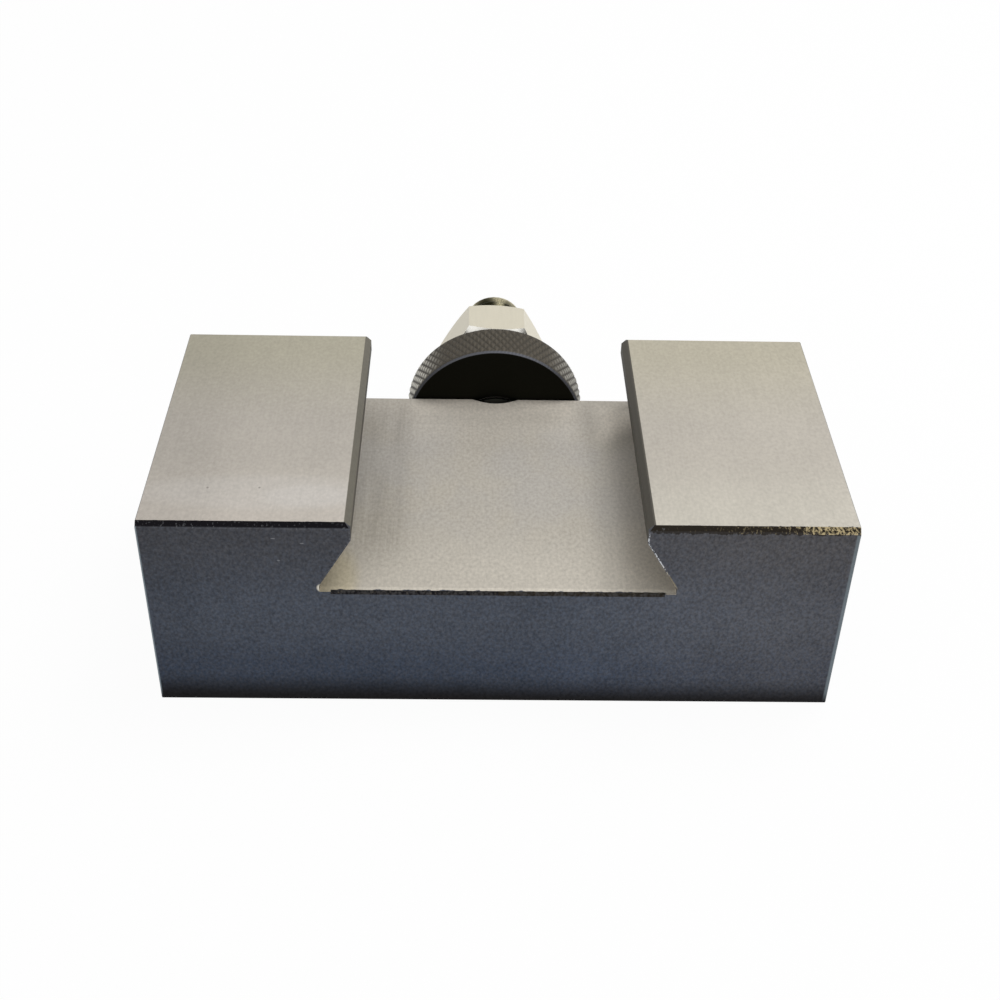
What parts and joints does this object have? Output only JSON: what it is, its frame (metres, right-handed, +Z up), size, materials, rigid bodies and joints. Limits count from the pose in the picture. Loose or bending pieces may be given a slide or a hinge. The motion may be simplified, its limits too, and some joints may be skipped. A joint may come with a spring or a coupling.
{
  "type": "quick change tool holder",
  "caption": "Steel block with a dovetail groove on one side and a tool slot on the other, a row of set screws, and a height stud with a knurled nut and a hexagon lock nut.",
  "frame": {"origin": "bottom centre of the box round the whole holder, which lies on its tool slot side", "axes": "+X along the block's length, +Y along its height in use, towards the nuts, +Z up, out of the dovetail side"},
  "size_m": [0.0762, 0.0658, 0.0254],
  "materials": {
    "block_steel": "black oxide, with the dovetail side ground bright",
    "stud_steel": "black oxide on a threaded stud",
    "knurled_nut_steel": "dark oxide on a turned and knurled nut",
    "lock_nut_steel": "bright plated steel",
    "set_screw_steel": "black oxide"
  },
  "bodies": {
    "holder": {"holder_body": "block_steel", "height_stud": "stud_steel"},
    "knurled_nut": {"knurled_nut": "knurled_nut_steel"},
    "lock_nut": {"lock_nut": "lock_nut_steel"},
    "set_screw_1": {"set_screw_1": "set_screw_steel"},
    "set_screw_2": {"set_screw_2": "set_screw_steel"},
    "set_screw_3": {"set_screw_3": "set_screw_steel"},
    "set_screw_4": {"set_screw_4": "set_screw_steel"}
  },
  "joints": [
    {"name": "knurled_nut_travel", "type": "slide", "parent": "holder", "child": "knurled_nut", "axis": [0, 1, 0], "range_m": [0, 0.005]},
    {"name": "lock_nut_travel", "type": "slide", "parent": "knurled_nut", "child": "lock_nut", "axis": [0, 1, 0], "range_m": [0, 0.0025]},
    {"name": "set_screw_1_travel", "type": "slide", "parent": "holder", "child": "set_screw_1", "axis": [0, -1, 0], "range_m": [-0.004, 0.013]},
    {"name": "set_screw_2_travel", "type": "slide", "parent": "holder", "child": "set_screw_2", "axis": [0, -1, 0], "range_m": [-0.004, 0.013]},
    {"name": "set_screw_3_travel", "type": "slide", "parent": "holder", "child": "set_screw_3", "axis": [0, -1, 0], "range_m": [-0.004, 0.013]},
    {"name": "set_screw_4_travel", "type": "slide", "parent": "holder", "child": "set_screw_4", "axis": [0, -1, 0], "range_m": [-0.004, 0.013]}
  ]
}
